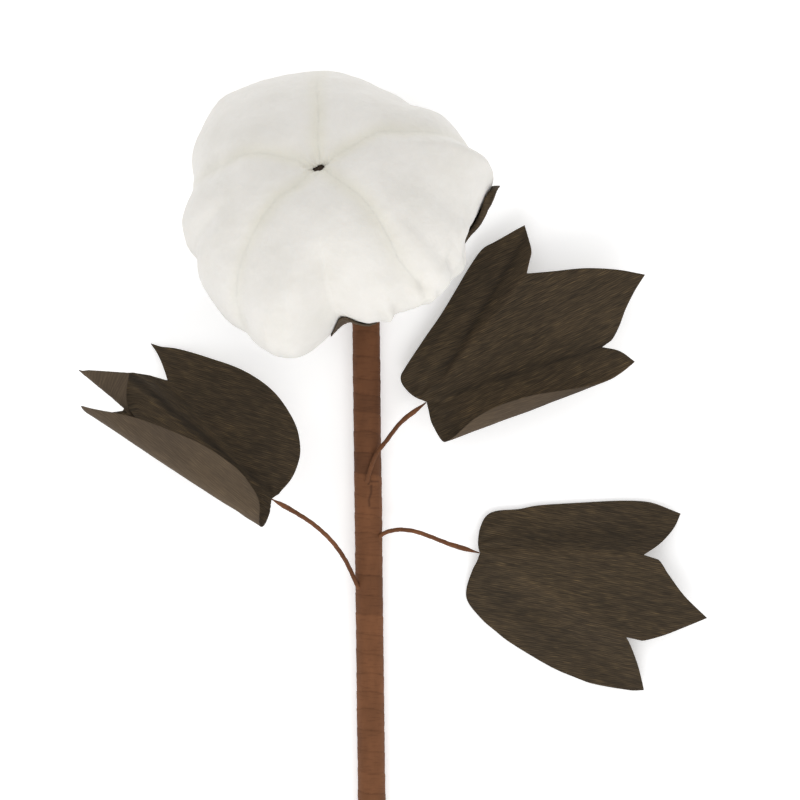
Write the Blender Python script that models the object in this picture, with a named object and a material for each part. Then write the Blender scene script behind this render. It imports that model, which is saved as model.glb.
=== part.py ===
"""Made cotton stem, lying down: a padded five-lock boll on crepe-paper bracts, a paper-taped
wire stem and three folded crepe-paper leaves on wire stalks.

Origin: the flat spot under the boll that rests on the table.  +Y runs along the stem from its
cut end to the boll, +Z is up.  Metres; MM turns millimetres into metres.
"""
import math

import bmesh
import bpy
import numpy as np
from mathutils import Matrix

MM = 0.001
GAP = 0.3              # clearance between pieces that touch, mm

# Boll: a flattened ball of five locks around an axis that leans towards +Y.
BOLL_CENTRE = (4.0, -18.0, 48.6)
BOLL_RADIUS = 63.0     # across the axis
BOLL_RISE = 43.0       # centre to crown, along the axis
BOLL_DROP = 40.0       # centre to back, along the axis
BOLL_TILT = 32.0       # lean of the axis from upright, degrees
BOLL_HEADING = 20.8    # plan direction of the boll's upper edge, degrees from +Y towards -X
LOCK_NAMES = ("left", "top_left", "top_right", "right", "bottom")
LOCK_CREASES = (-125.0, -60.0, 18.0, 90.0, 156.0)   # where each lock starts, degrees around the axis
LOCK_REACH = (0.96, 1.06, 0.94, 1.01, 0.98)         # each lock's own share of BOLL_RADIUS
LOCK_BORE = 7.2        # radius kept free for the receptacle
LOCK_FLOOR = 1.3       # the locks are pressed flat at this height
LOCK_SQUARENESS = 8.0  # how abruptly a lock ends at its walls
LOCK_WALL_SHARE = 0.985
LOCK_POLE = 7.0        # a lock's outer arc stops this far from the axis, degrees
LOCK_HEART = 36.0      # radius that a lock's outline shrinks towards near its walls

BRACT_BASE = 165.0     # angle from the crown, degrees
BRACT_TURNS = (-95.0, -14.0, 48.0, 110.0, 184.0)    # azimuth of each bract, named as the locks
BRACT_TIPS = (104.0, 100.0, 104.0, 86.0, 90.0)      # angle of each tip from the crown
BRACT_HALF_WIDTH = 28.0
BRACT_CLEARANCE = 0.7
BRACT_THICKNESS = 0.8

RECEPTACLE_RADIUS = 6.6
RECEPTACLE_TOP = 28.0
RECEPTACLE_FOOT = -33.0
RECEPTACLE_BEVEL = 1.5
RECEPTACLE_DOME = 0.6  # height of the domed top as a share of the radius
CALYX_RADIUS = 14.0
CALYX_WAIST = 9.0      # radius where the cup's wall is nearly full depth
CALYX_DEPTHS = (1.2, 3.0, 3.7)    # outside of the cup behind the ball: at rim, waist and stem

STEM_CUT_Y = -411.0
STEM_STRAIGHT_END = (19.6, -67.0, 8.4)
STEM_WRAP_RADIUS = 5.9
STEM_NECK_RADIUS = 5.2
STEM_CORE_RADIUS = 3.6
STEM_SLOPE_X = 0.0119  # sideways drift per millimetre of length
NECK_DEPTH = 45.0      # the wrap ends this far below the boll's centre, along the axis
BEND_HANDLES = (9.0, 8.0)         # reach of the bend's two handles, at the table and at the boll

WIRE_RADIUS = 0.95
WIRE_STOP = 1.4        # a wire ends this far short of its leaf's foot
PAPER_THICKNESS = 0.6
LEAF_HUB = (0.0, 6.0)  # the rays of a leaf's mesh start here on its flat pattern
LEAF_ELBOW = 0.8       # and bend at this share of their length
NOTCH_TO_TIP = 7       # outline points from a notch to the middle tip, both counted

# Leaves: flat patterns and folds in millimetres and degrees, foot at the origin, midrib on +Y.
# Each side has a shoulder curve (low, high, tip), a notch and the middle lobe's brow.  A fold is
# (sharpness radius, line through, heading from +Y towards +X, side, bend up).
LEAVES = {
    "left": {
        "right": {"low": (40, -12), "high": (52, 36), "tip": (34, 88), "inlet": (28, 75),
                  "notch": (23, 71), "brow": (13, 83)},
        "left": {"low": (-44, -27), "high": (-47, 37), "tip": (-30, 84), "inlet": (-21, 78),
                 "notch": (-12, 72), "corner": (-24, 90)},
        "middle_tip": (-9.5, 98),
        "waist": (0, 83),
        "corner_fold": (1.8, (-12, 72), 5.0, -1, 160.0),
        "folds": ((5.0, (-20, -8), -5.5, -1, 143.0), (3.0, (0, 0), 6.5, -1, -20.0),
                  (4.0, (0, 0), 18.0, 1, 51.0)),
        "turns": (31.5, 61.5, -22.0),
        "foot": (-19.9, -140.2, None),
        "rings": 13,
    },
    "upper_right": {
        "right": {"low": (42, -17), "high": (49, 42), "tip": (35, 84), "inlet": (27, 81),
                  "notch": (20, 75.5), "brow": (19, 86)},
        "left": {"low": (-18, -17), "high": (-38, 33), "tip": (-43, 74), "inlet": (-31, 71),
                 "notch": (-23, 65), "brow": (-13, 88)},
        "middle_tip": (4, 107),
        "folds": ((4.0, (0, 0), -28.0, -1, 29.5), (4.0, (0, 0), -19.5, -1, -34.5),
                  (5.0, (23, -8), 11.5, 1, 149.5), (4.0, (0, 0), 15.0, 1, 26.0)),
        "turns": (-57.5, -2.0, 6.0),
        "foot": (45.4, -99.6, 10.0),
        "rings": 13,
    },
    "lower_right": {
        "right": {"low": (27, -14), "high": (45, 42), "tip": (39.5, 81), "inlet": (28, 78),
                  "notch": (18, 70), "brow": (20, 82)},
        "left": {"low": (-24, -14), "high": (-40, 36), "tip": (-39, 77), "inlet": (-29, 74),
                 "notch": (-17, 68), "brow": (-17, 79)},
        "middle_tip": (1.5, 100),
        "folds": ((12.0, (0, 0), -30.0, -1, 14.5), (3.0, (0, 0), -14.5, -1, -26.0),
                  (12.0, (0, 0), 29.0, 1, 11.5), (3.0, (0, 0), 15.0, 1, -23.0)),
        "turns": (-105.0, 0.0, 4.5),
        "foot": (68.1, -163.9, None),
        "rings": 8,
    },
}
# Wire routes from the stem's side to each leaf's foot.
WIRES = {
    "left": ((15.1, -176.2, 12.4), (13.0, -171.0, 14.0), (10.0, -165.2, 16.5), (5.0, -158.3, 20.6),
             (-1.7, -151.8, 26.4), (-9.4, -146.4, 33.4)),
    "upper_right": ((19.8, -131.8, 15.3), (23.6, -122.4, 14.9), (28.1, -116.2, 13.8),
                    (34.4, -108.2, 12.0), (41.7, -102.4, 10.6)),
    "lower_right": ((26.9, -155.5, 11.6), (29.0, -154.6, 11.2), (34.0, -153.8, 10.2),
                    (40.3, -154.6, 8.9), (46.6, -156.7, 7.7), (55.0, -160.0, 6.6),
                    (63.4, -162.6, 5.9)),
}


def vec(*xyz):
    return np.array(xyz, dtype=float)


def direction(azimuth, elevation):
    """Unit vector; azimuth in degrees from +Y towards -X, elevation in degrees from level."""
    a, e = math.radians(azimuth), math.radians(elevation)
    return vec(-math.sin(a) * math.cos(e), math.cos(a) * math.cos(e), math.sin(e))


CENTRE = vec(*BOLL_CENTRE)
AXIS = direction(BOLL_HEADING, 90.0 - BOLL_TILT)
UPPER = direction(BOLL_HEADING, -BOLL_TILT)
SIDE = np.cross(UPPER, AXIS)


# ---------------------------------------------------------------- mesh helpers

def clear_scene():
    for obj in list(bpy.data.objects):
        bpy.data.objects.remove(obj, do_unlink=True)


def material(name, colour, roughness, metallic=0.0):
    mat = bpy.data.materials.new(name)
    mat.use_nodes = True
    bsdf = mat.node_tree.nodes["Principled BSDF"]
    bsdf.inputs["Base Color"].default_value = (*colour, 1.0)
    bsdf.inputs["Roughness"].default_value = roughness
    bsdf.inputs["Metallic"].default_value = metallic
    return mat


def add_object(name, points_mm, faces, mat):
    mesh = bpy.data.meshes.new(name)
    mesh.from_pydata((np.asarray(points_mm) * MM).tolist(), [], faces)
    shell = bmesh.new()
    shell.from_mesh(mesh)
    bmesh.ops.recalc_face_normals(shell, faces=shell.faces)
    shell.to_mesh(mesh)
    shell.free()
    mesh.shade_smooth()
    mesh.set_sharp_from_angle(angle=math.radians(40))
    mesh.materials.append(mat)
    obj = bpy.data.objects.new(name, mesh)
    bpy.context.scene.collection.objects.link(obj)
    return obj


def disc_solid(name, front, back, mat):
    """Thin solid from two polar grids [ray, ring]; ring 0 of each ray is the shared centre."""
    rays, rings = front.shape[:2]
    points = [front[0, 0], back[0, 0]]
    points += list(front[:, 1:].reshape(-1, 3))
    points += list(back[:, 1:].reshape(-1, 3))

    def top(j, i):
        return 0 if i == 0 else 2 + (j % rays) * (rings - 1) + i - 1

    def under(j, i):
        return 1 if i == 0 else 2 + rays * (rings - 1) + (j % rays) * (rings - 1) + i - 1

    faces = []
    for j in range(rays):
        faces.append((0, top(j + 1, 1), top(j, 1)))
        faces.append((1, under(j, 1), under(j + 1, 1)))
        for i in range(1, rings - 1):
            faces.append((top(j, i), top(j + 1, i), top(j + 1, i + 1), top(j, i + 1)))
            faces.append((under(j, i), under(j, i + 1), under(j + 1, i + 1), under(j + 1, i)))
        last = rings - 1
        faces.append((top(j, last), top(j + 1, last), under(j + 1, last), under(j, last)))
    return add_object(name, points, faces, mat)


def patch_solid(name, outer, inner, mat):
    """Thin solid from two open grids [row, column] of the same shape."""
    rows, cols = outer.shape[:2]
    points = np.concatenate([outer.reshape(-1, 3), inner.reshape(-1, 3)])
    half = rows * cols

    def out(r, c):
        return r * cols + c

    faces = []
    for r in range(rows - 1):
        for c in range(cols - 1):
            quad = (out(r, c), out(r, c + 1), out(r + 1, c + 1), out(r + 1, c))
            faces.append(quad)
            faces.append(tuple(half + k for k in reversed(quad)))
    border = [out(0, c) for c in range(cols)]
    border += [out(r, cols - 1) for r in range(1, rows)]
    border += [out(rows - 1, c) for c in range(cols - 2, -1, -1)]
    border += [out(r, 0) for r in range(rows - 2, 0, -1)]
    for k, here in enumerate(border):
        there = border[(k + 1) % len(border)]
        faces.append((there, here, half + here, half + there))
    return add_object(name, points, faces, mat)


def loft_solid(name, loops, mat, caps=True):
    """Closed solid through loops [section, point]; without caps the last loop meets the first."""
    sections, count = loops.shape[:2]
    spans = sections - 1 if caps else sections
    faces = []
    for s in range(spans):
        here, there = s * count, (s + 1) % sections * count
        for k in range(count):
            after = (k + 1) % count
            faces.append((here + k, here + after, there + after, there + k))
    if caps:
        faces.append(tuple(range(count)))
        faces.append(tuple((sections - 1) * count + k for k in range(count)))
    return add_object(name, loops.reshape(-1, 3), faces, mat)


# ---------------------------------------------------------------- boll

def boll_point(polar, around, share, offset):
    """Point on a lock's side of the ball: polar from the crown, azimuth around the axis, degrees."""
    p, b = np.radians(polar), np.radians(around)
    reach = np.where(np.cos(p) > 0, BOLL_RISE, BOLL_DROP) + offset
    up = reach * np.cos(p)
    out = (BOLL_RADIUS * share + offset) * np.sin(p)
    radial = np.multiply.outer(np.cos(b), UPPER) + np.multiply.outer(np.sin(b), SIDE)
    return CENTRE + up[..., None] * AXIS + out[..., None] * radial


def press_flat(points, height):
    points[..., 2] = np.maximum(points[..., 2], height)
    return points


def each_lock():
    """Name, start and end azimuth, and share of the boll's radius of every lock."""
    ends = LOCK_CREASES[1:] + (LOCK_CREASES[0] + 360.0,)
    return zip(LOCK_NAMES, LOCK_CREASES, ends, LOCK_REACH)


def lock_outline(share):
    """D-shaped half section of a lock: the outer arc, then back up along the bore."""
    polar = np.radians(np.linspace(LOCK_POLE, 180 - LOCK_POLE, 13))
    reach = np.where(np.cos(polar) > 0, BOLL_RISE, BOLL_DROP)
    arc_out, arc_up = BOLL_RADIUS * share * np.sin(polar), reach * np.cos(polar)
    arc_out = np.maximum(arc_out, LOCK_BORE)
    bore_up = np.linspace(arc_up[-1], arc_up[0], 7)[1:-1]
    out = np.concatenate([arc_out, np.full(bore_up.shape, LOCK_BORE)])
    return out, np.concatenate([arc_up, bore_up])


def lock_solid(name, start, end, share, mat):
    """The D outline carried around the axis from one crease to the next.

    Its size follows a superellipse, so a lock has a broad bulge and rounded shoulders.
    """
    middle, half = (start + end) / 2, (end - start) / 2
    out, up = lock_outline(share)
    inward = GAP / math.sin(math.radians(half)) * radial_at(middle)
    loops = []
    for u in np.sin(np.linspace(-math.pi / 2, math.pi / 2, 10)) * LOCK_WALL_SHARE:
        size = (1 - abs(u) ** LOCK_SQUARENESS) ** (1 / LOCK_SQUARENESS)
        wide = LOCK_HEART + (out - LOCK_HEART) * size
        tall = up * size
        here = radial_at(middle + u * half)
        loops.append(CENTRE + inward + wide[:, None] * here + tall[:, None] * AXIS)
    return loft_solid(name, press_flat(np.array(loops), LOCK_FLOOR), mat)


def radial_at(around):
    b = math.radians(around)
    return math.cos(b) * UPPER + math.sin(b) * SIDE


def make_locks(mat):
    for name, start, end, share in each_lock():
        lock_solid("cotton_lock_" + name, start, end, share, mat)


def make_bracts(mat):
    """Pointed scales that hug the back of the ball, one behind each lock."""
    along = np.linspace(0.0, 1.0, 13)[:, None]
    across = np.linspace(-1.0, 1.0, 9)[None, :]
    width = 0.06 + 0.94 * (1 - along ** 2) ** 0.7
    for name, turn, tip, share in zip(LOCK_NAMES, BRACT_TURNS, BRACT_TIPS, LOCK_REACH):
        polar = BRACT_BASE + (tip - BRACT_BASE) * along + 0 * across
        around = turn + BRACT_HALF_WIDTH * width * across
        inner = boll_point(polar, around, share, BRACT_CLEARANCE)
        outer = boll_point(polar, around, share, BRACT_CLEARANCE + BRACT_THICKNESS)
        press_flat(inner, BRACT_THICKNESS)
        press_flat(outer, 0.0)
        patch_solid("bract_" + name, outer, inner, mat)


def turned_about_axis(name, profile, mat, closed, sides=20):
    """Solid of revolution from (radius, height along the axis) points."""
    around = np.radians(np.arange(sides) * 360.0 / sides)
    radial = np.outer(np.cos(around), UPPER) + np.outer(np.sin(around), SIDE)
    loops = np.array([CENTRE + h * AXIS + r * radial for r, h in profile])
    return loft_solid(name, loops, mat, caps=not closed)


def make_receptacle(mat):
    """Woody core between the locks: a rod with a domed top, seen at the bottom of the crown."""
    r, top = RECEPTACLE_RADIUS, RECEPTACLE_TOP
    rise = RECEPTACLE_DOME * r
    dome = [(r * math.cos(a), top + rise * math.sin(a)) for a in np.radians([0, 35, 65])]
    foot = [(r - RECEPTACLE_BEVEL, RECEPTACLE_FOOT), (r, RECEPTACLE_FOOT + RECEPTACLE_BEVEL)]
    profile = foot + dome
    turned_about_axis("receptacle", profile, mat, closed=False)


def make_calyx(mat):
    """Shallow cup under the bracts, pierced by the stem."""
    def back(radius, offset):
        slope = math.sqrt(1 - (radius / BOLL_RADIUS) ** 2)
        return radius, -(BOLL_DROP + offset) * slope
    hole = STEM_CORE_RADIUS + 2 * GAP
    rim_depth, waist_depth, stem_depth = CALYX_DEPTHS
    inside = [back(r, BRACT_CLEARANCE) for r in (hole, CALYX_WAIST, CALYX_RADIUS)]
    outside = [back(CALYX_RADIUS, BRACT_CLEARANCE + rim_depth), back(CALYX_WAIST, waist_depth),
               back(hole, stem_depth)]
    turned_about_axis("calyx_cup", inside + outside, mat, closed=True)


# ---------------------------------------------------------------- stem and wires

def bezier(p0, p1, p2, p3, count):
    t = np.linspace(0.0, 1.0, count)[:, None]
    return (1 - t) ** 3 * p0 + 3 * (1 - t) ** 2 * t * p1 + 3 * (1 - t) * t * t * p2 + t ** 3 * p3


def stem_path(neck_end):
    """Straight run on the table, a short bend under the boll, then up along the boll's axis."""
    run_end = vec(*STEM_STRAIGHT_END)
    length = run_end[1] - STEM_CUT_Y
    cut = vec(run_end[0] + STEM_SLOPE_X * length, STEM_CUT_Y, STEM_WRAP_RADIUS)
    straight = cut + (run_end - cut) * np.linspace(0.0, 1.0, 7)[:, None]
    neck = CENTRE - NECK_DEPTH * AXIS
    heading = (run_end - cut) / np.linalg.norm(run_end - cut)
    low, high = BEND_HANDLES
    bend = bezier(run_end, run_end + low * heading, neck - high * AXIS, neck, 9)
    path = np.concatenate([straight, bend[1:]])
    if neck_end < NECK_DEPTH:
        path = np.concatenate([path, [CENTRE - neck_end * AXIS]])
    return path


def tube_rings(path, radius, sides):
    """Rings square to a path that never runs along X; radius is one value or one per point."""
    tangent = np.gradient(path, axis=0)
    tangent /= np.linalg.norm(tangent, axis=1)[:, None]
    first = np.cross(tangent, vec(1, 0, 0))
    first /= np.linalg.norm(first, axis=1)[:, None]
    second = np.cross(tangent, first)
    turn = np.arange(sides) * 2 * math.pi / sides
    radius = np.broadcast_to(radius, len(path))[:, None, None]
    ring = np.cos(turn)[None, :, None] * first[:, None] + np.sin(turn)[None, :, None] * second[:, None]
    return path[:, None] + radius * ring


def make_stem(core_mat, wrap_mat):
    core = tube_rings(stem_path(-RECEPTACLE_FOOT + GAP), STEM_CORE_RADIUS, 12)
    loft_solid("stem_core", core, core_mat)
    path = stem_path(NECK_DEPTH)
    neck_share = np.clip((path[:, 1] - STEM_STRAIGHT_END[1]) / (path[-1, 1] - STEM_STRAIGHT_END[1]), 0, 1)
    radius = STEM_WRAP_RADIUS + (STEM_NECK_RADIUS - STEM_WRAP_RADIUS) * neck_share
    outer = tube_rings(path, radius, 16)
    inner = tube_rings(path, STEM_CORE_RADIUS + GAP, 16)
    loft_solid("stem_wrap", np.concatenate([outer, inner[::-1]]), wrap_mat, caps=False)


def make_wire(name, route, leaf_base, mat):
    """Stalk wire on a smooth curve through its own points, ending just short of the leaf."""
    stops = np.array(route + (tuple(leaf_base),))
    last = stops[-1] - stops[-2]
    stops[-1] -= WIRE_STOP * last / np.linalg.norm(last)
    rings = sideways_tube_rings(smooth_through(stops, 3), WIRE_RADIUS, 6)
    loft_solid(name, rings, mat)


def smooth_through(stops, steps):
    """Catmull-Rom curve: each span's slopes are half the way between its neighbours."""
    padded = np.concatenate([[2 * stops[0] - stops[1]], stops, [2 * stops[-1] - stops[-2]]])
    points = []
    for a, b, c, d in zip(padded[:-3], padded[1:-2], padded[2:-1], padded[3:]):
        for t in np.arange(steps) / steps:
            pull = (c - a) * t + (2 * a - 5 * b + 4 * c - d) * t * t + (3 * b - a - 3 * c + d) * t ** 3
            points.append(b + pull / 2)
    return np.array(points + [stops[-1]])


def sideways_tube_rings(path, radius, sides):
    """Rings square to a path that never runs along Z."""
    swap = path[:, [2, 1, 0]]
    return tube_rings(swap, radius, sides)[..., [2, 1, 0]]


# ---------------------------------------------------------------- leaves

def turned(axis, degrees):
    return np.array(Matrix.Rotation(math.radians(degrees), 3, axis))


def fold_sheet(points, flat, through, heading, side, bend, radius):
    """Bend the sheet on one side of a line drawn on the flat pattern.

    heading is in degrees from +Y towards +X, side is +1 right of the line or -1 left of it, and
    a positive bend lifts that side.  Paper keeps its length: a strip as long as the bend's arc
    is rolled around it, and everything past the strip is carried along.
    """
    a, lift = math.radians(heading), math.radians(abs(bend))
    along_line = vec(math.sin(a), math.cos(a), 0)
    away = side * vec(math.cos(a), -math.sin(a), 0)
    normal = vec(0, 0, math.copysign(1, bend))
    strip = radius * lift
    start = vec(*through, 0) - away * strip / 2
    past = (flat[..., 0] - start[0]) * away[0] + (flat[..., 1] - start[1]) * away[1]
    turn = np.clip(past / radius, 0.0, lift)
    rest = points - start
    beyond = rest @ away - np.clip(past, 0.0, strip)
    height = rest @ normal
    out = (radius - height) * np.sin(turn) + beyond * np.cos(turn)
    up = radius - (radius - height) * np.cos(turn) + beyond * np.sin(turn)
    run = (rest @ along_line)[..., None] * along_line
    return start + run + out[..., None] * away + up[..., None] * normal


def quadratic(p0, p1, p2, count):
    t = np.linspace(0.0, 1.0, count)[:, None]
    return (1 - t) ** 2 * vec(*p0) + 2 * (1 - t) * t * vec(*p1) + t * t * vec(*p2)


def half_outline(side, tip):
    """Flat outline from the leaf's foot to its middle tip: shoulder, side tip, notch, middle."""
    foot = vec(0, 0)
    shoulder = bezier(foot, vec(*side["low"]), vec(*side["high"]), vec(*side["tip"]), 13)
    inlet = quadratic(side["tip"], side["inlet"], side["notch"], 5)
    if "corner" in side:
        middle = np.concatenate([quadratic(side["notch"], np.add(side["notch"], side["corner"]) / 2,
                                           side["corner"], 4),
                                 quadratic(side["corner"], np.add(side["corner"], tip) / 2, tip, 4)[1:]])
    else:
        middle = quadratic(side["notch"], side["brow"], tip, NOTCH_TO_TIP)
    return np.concatenate([shoulder[:-1], inlet[:-1], middle])


def leaf_rays(spec):
    """Flat points [ray, ring] of a leaf, and which rays belong to its left lobe.

    A ray runs from the hub to an elbow and on to the outline.  Around a middle lobe that
    overhangs its notch the elbows swing to a waist, so no ray leaves the sheet.
    """
    tip = spec["middle_tip"]
    right, left = half_outline(spec["right"], tip), half_outline(spec["left"], tip)
    edge = np.concatenate([right, left[-2:0:-1]])
    hub = vec(*LEAF_HUB)
    elbow = hub + LEAF_ELBOW * (edge - hub)
    peak = len(right) - 1
    first, last = peak + 1 - NOTCH_TO_TIP, peak - 1 + NOTCH_TO_TIP
    if "waist" in spec:
        for k in range(first, last + 1):
            swing = 1 - abs(k - peak) / (NOTCH_TO_TIP - 1)
            elbow[k] = (1 - swing) * elbow[k] + swing * vec(*spec["waist"])
    share = np.linspace(0.0, 1.0, spec["rings"])[None, :, None]
    inner = hub + (elbow - hub)[:, None] * np.minimum(share / LEAF_ELBOW, 1.0)
    outer = (edge - elbow)[:, None] * np.clip((share - LEAF_ELBOW) / (1 - LEAF_ELBOW), 0.0, 1.0)
    left_lobe = np.arange(len(edge)) > last
    return inner + outer, left_lobe


def folded_leaf(spec, height):
    """One face of the sheet, height above its middle, folded and turned into place."""
    flat, left_lobe = leaf_rays(spec)
    points = np.concatenate([flat, np.full(flat.shape[:2] + (1,), height)], axis=2)
    if "corner_fold" in spec:
        radius, through, heading, side, bend = spec["corner_fold"]
        bent = fold_sheet(points, flat, through, heading, side, bend, radius)
        points = np.where(left_lobe[:, None, None], points, bent)
    for radius, through, heading, side, bend in spec["folds"]:
        points = fold_sheet(points, flat, through, heading, side, bend, radius)
    about_z, about_y, about_x = spec["turns"]
    return points @ (turned("Z", about_z) @ turned("Y", about_y) @ turned("X", about_x)).T


def make_leaf(name, mat):
    """Folded leaf; a foot without a height is set so that the leaf just touches the table."""
    spec = LEAVES[name]
    front, back = (folded_leaf(spec, side * PAPER_THICKNESS / 2) for side in (1, -1))
    x, y, z = spec["foot"]
    if z is None:
        z = -min(front[..., 2].min(), back[..., 2].min())
    foot = vec(x, y, z)
    disc_solid("leaf_" + name, foot + front, foot + back, mat)
    return foot


def make_part():
    clear_scene()
    cotton = material("cotton", (0.80, 0.79, 0.76), 0.95)
    brown_paper = material("brown_paper", (0.10, 0.06, 0.04), 0.85)
    dark_crepe = material("dark_crepe", (0.07, 0.05, 0.04), 0.9)
    stalk_paper = material("stalk_paper", (0.20, 0.12, 0.08), 0.85)
    wire = material("wire_core", (0.30, 0.30, 0.30), 0.5, 1.0)
    husk = material("husk", (0.25, 0.16, 0.09), 0.9)
    make_locks(cotton)
    make_bracts(brown_paper)
    make_receptacle(husk)
    make_calyx(brown_paper)
    make_stem(wire, stalk_paper)
    for name in LEAVES:
        foot = make_leaf(name, dark_crepe)
        make_wire("leaf_wire_" + name, WIRES[name], foot, stalk_paper)


make_part()
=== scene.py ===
# %% [markdown]
# # A made cotton stem
# The object is a piece of floristry: a padded cotton boll on dark paper bracts, a wire stem wound
# with brown paper tape, and three folded crepe-paper leaves on wire stalks.  It lies on a table and
# the camera looks straight down on it.  The solid model is loaded first as a fixed frame; every
# piece below is a finer skin for one of its nodes.

# %% Load the frame
import math

import bpy
import numpy as np
from mathutils import Matrix


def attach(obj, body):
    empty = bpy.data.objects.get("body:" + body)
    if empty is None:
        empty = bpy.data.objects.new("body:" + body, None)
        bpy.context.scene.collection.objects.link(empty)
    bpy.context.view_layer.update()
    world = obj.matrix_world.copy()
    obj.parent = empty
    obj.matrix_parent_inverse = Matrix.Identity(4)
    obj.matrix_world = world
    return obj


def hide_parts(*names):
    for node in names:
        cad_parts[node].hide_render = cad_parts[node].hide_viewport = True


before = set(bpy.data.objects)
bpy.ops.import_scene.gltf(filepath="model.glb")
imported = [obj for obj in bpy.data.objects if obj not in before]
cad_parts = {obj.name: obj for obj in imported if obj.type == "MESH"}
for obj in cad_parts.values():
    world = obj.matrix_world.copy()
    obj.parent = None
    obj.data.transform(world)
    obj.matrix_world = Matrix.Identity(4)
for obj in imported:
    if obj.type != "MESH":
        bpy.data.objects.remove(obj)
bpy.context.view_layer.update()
MM = 0.001
FLAT_MAP = "flat"       # name of the UV map that holds a paper's flat pattern

# %% [markdown]
# ## Helpers
# Every piece here is a closed skin: rings of points, each ring closed on itself, stacked from one
# end to the other.  A leaf, a lock of cotton and a stalk differ only in the formula of their rings.
# Modelling them by hand with proportional editing would work, but a formula keeps folds and creases
# at exact sizes.  The skin is filled into the mesh in one go, because a loop over 100,000 points
# would be slow.

# %% A skin over rings
def skin_faces(count, around, joined):
    """Corner numbers of the quads between rings, and of the fans that close the two ends."""
    here = np.arange(count * around).reshape(count, around)
    beside = np.roll(here, -1, axis=1)
    above, beside_above = np.roll(here, -1, axis=0), np.roll(beside, -1, axis=0)
    quads = np.stack([here, beside, beside_above, above], axis=-1)
    if joined:
        return quads.reshape(-1, 4), np.zeros((0, 3), dtype=int)
    first, last = count * around, count * around + 1
    start = np.stack([beside[0], here[0], np.full(around, first)], axis=-1)
    end = np.stack([here[-1], beside[-1], np.full(around, last)], axis=-1)
    return quads[:-1].reshape(-1, 4), np.concatenate([start, end])


def faces_inward(points, quads):
    """Volume = sum of a . (b x c) over the triangles; it is negative on an inside-out skin."""
    a, b, c, d = (points[quads[:, k]] for k in range(4))
    return np.einsum("ij,ij->", a, np.cross(b, c) + np.cross(c, d)) < 0


def fill_mesh(mesh, points, quads, fans):
    """Fill an empty mesh with points in millimetres, and return its corners."""
    corners = np.concatenate([quads.ravel(), fans.ravel()]).astype(np.int32)
    totals = np.repeat((4, 3), (len(quads), len(fans)))
    starts = np.cumsum(totals) - totals
    mesh.vertices.add(len(points))
    mesh.vertices.foreach_set("co", (points * MM).astype(np.float32).ravel())
    mesh.loops.add(len(corners))
    mesh.loops.foreach_set("vertex_index", corners)
    mesh.polygons.add(len(totals))
    mesh.polygons.foreach_set("loop_start", starts.astype(np.int32))
    mesh.polygons.foreach_set("loop_total", totals.astype(np.int32))
    mesh.update(calc_edges=True)
    mesh.shade_smooth()
    return corners


def closed_skin(name, rings, joined=False, uv=None, tones=None):
    """Mesh over rings [ring, point, xyz] in millimetres; every ring closes on itself.

    Joined, the last ring meets the first, as on a tube with a bore.  Otherwise each end closes
    to the mean of its ring.  uv is one pair per ring point, tones is a dict of named values.
    """
    count, around = rings.shape[:2]
    quads, fans = skin_faces(count, around, joined)
    points = rings.reshape(-1, 3)
    if not joined:
        points = np.concatenate([points, [rings[0].mean(axis=0), rings[-1].mean(axis=0)]])
    if faces_inward(points, quads):
        quads, fans = quads[:, ::-1], fans[:, ::-1]
    mesh = bpy.data.meshes.new(name)
    corners = fill_mesh(mesh, points, quads, fans)
    if uv is not None:
        pairs = uv.reshape(-1, 2)
        if not joined:
            pairs = np.concatenate([pairs, pairs[:1], pairs[-1:]])
        layer = mesh.uv_layers.new(name=FLAT_MAP)
        layer.data.foreach_set("uv", pairs[corners].astype(np.float32).ravel())
    for label, values in (tones or {}).items():
        values = values.reshape(-1)
        values = np.concatenate([values, np.full(len(points) - len(values), values.mean())])
        layer = mesh.attributes.new(label, "FLOAT", "POINT")
        layer.data.foreach_set("value", values.astype(np.float32))
    piece = bpy.data.objects.new(name, mesh)
    bpy.context.scene.collection.objects.link(piece)
    print(f"{name}: {len(points)} points, {2 * len(quads) + len(fans)} triangles")
    return piece


# %% Random hills
HILL_CELLS = 64         # the random table repeats after this many cells


def hills(*coordinates, seed):
    """Smooth noise from -1 to 1 in one, two or three coordinates.

    Every whole-numbered point of space has a random height, and between them the heights are
    blended with the curve 3t^2 - 2t^3.
    """
    table = np.random.default_rng(seed).uniform(-1.0, 1.0, (HILL_CELLS,) * len(coordinates))
    coordinates = np.broadcast_arrays(*coordinates)
    cells = [np.floor(c).astype(int) for c in coordinates]
    parts = [c - cell for c, cell in zip(coordinates, cells)]
    blends = [p * p * (3 - 2 * p) for p in parts]
    total = 0.0
    for corner in np.ndindex(*(2,) * len(coordinates)):
        weight = 1.0
        for step, blend in zip(corner, blends):
            weight = weight * (blend if step else 1 - blend)
        place = tuple((cell + step) % HILL_CELLS for step, cell in zip(corner, cells))
        total = total + weight * table[place]
    return total


def bezier(p0, p1, p2, p3, count):
    """Cubic curve through p0 and p3 that leaves towards p1 and arrives from p2."""
    t = np.linspace(0.0, 1.0, count)[:, None]
    return (1 - t) ** 3 * p0 + 3 * (1 - t) ** 2 * t * p1 + 3 * (1 - t) * t * t * p2 + t ** 3 * p3


def vec(*xyz):
    return np.array(xyz, dtype=float)


# %% Show a piece in place of its node
def stand_in(piece, node, slot, *materials):
    """Give the piece its materials and let it ride and stand for a node of the frame."""
    for mat in materials:
        piece.data.materials.append(mat)
    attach(piece, "root")
    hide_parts(node)
    return piece


# %% [markdown]
# ## Finishes
# Three finishes cover nearly all of the object.  Cotton wadding is matt and lets a little light
# through, so it is nearly white with a touch of subsurface light and a very fine fibrous bump.
# Crepe paper is matt with short streaks along its grain, paler where a ridge catches the light.
# Florist's tape is waxed crepe, browner and a little shinier.  A painted texture would do for one
# leaf, but a node recipe follows every fold and never repeats.

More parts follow.
